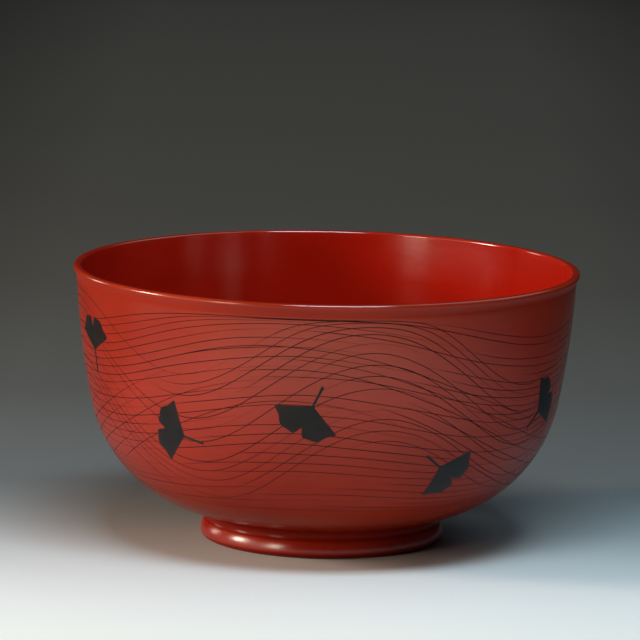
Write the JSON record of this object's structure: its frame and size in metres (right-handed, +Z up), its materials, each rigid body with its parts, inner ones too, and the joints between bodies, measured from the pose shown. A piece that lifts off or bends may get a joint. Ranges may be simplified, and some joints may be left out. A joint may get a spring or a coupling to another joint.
{
  "type": "lacquer sweets bowl",
  "caption": "Deep round footed bowl for sweets in red lacquer over a turned wooden core, with a rolled lip, a low foot ring and black leaves on the outside.",
  "frame": {"origin": "centre of the standing face of the foot", "axes": "+Z up along the turning axis, towards the mouth; X and Y are level"},
  "size_m": [0.212, 0.212, 0.115],
  "materials": {
    "core_wood": "bare turned wood, fine grain",
    "binding_cloth": "plain woven hemp soaked in lacquer",
    "outer_lacquer": "vermilion lacquer, satin gloss",
    "inner_lacquer": "vermilion lacquer, high gloss",
    "black_lacquer": "black lacquer, satin"
  },
  "bodies": {
    "root": {"wood_core": "core_wood", "foot_ring": "core_wood", "rim_cloth": "binding_cloth", "foot_cloth": "binding_cloth", "well_cloth": "binding_cloth", "outer_coat": "outer_lacquer", "inner_coat": "inner_lacquer", "foot_coat": "outer_lacquer", "recess_coat": "outer_lacquer", "leaf_inlays": "black_lacquer"}
  },
  "joints": []
}
